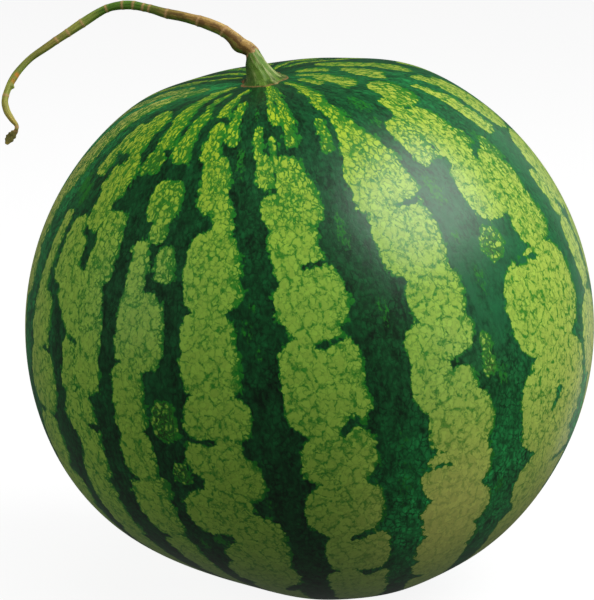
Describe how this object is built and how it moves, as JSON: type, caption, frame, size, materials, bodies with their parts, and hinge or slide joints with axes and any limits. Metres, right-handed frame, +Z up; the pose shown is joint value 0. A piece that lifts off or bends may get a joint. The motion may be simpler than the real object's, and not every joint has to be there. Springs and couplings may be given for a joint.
{
  "type": "watermelon",
  "caption": "Whole round striped watermelon standing on a small flat spot, with its ribbed green stalk and a curved cut length of dried vine.",
  "frame": {"origin": "on the surface the fruit rests on, in the flat resting spot, straight below the middle of the fruit", "axes": "+Z up out of the resting surface, -Y towards the front, -X towards the side that the vine stem arches over"},
  "size_m": [0.2573, 0.2496, 0.2606],
  "materials": {
    "rind": "satin",
    "stalk_green": "matte",
    "dried_vine": "matte",
    "withered_leaf": "matte"
  },
  "bodies": {
    "root": {"fruit": "rind", "stalk": "stalk_green", "vine_stem": "dried_vine", "withered_tip": "withered_leaf"}
  },
  "joints": []
}
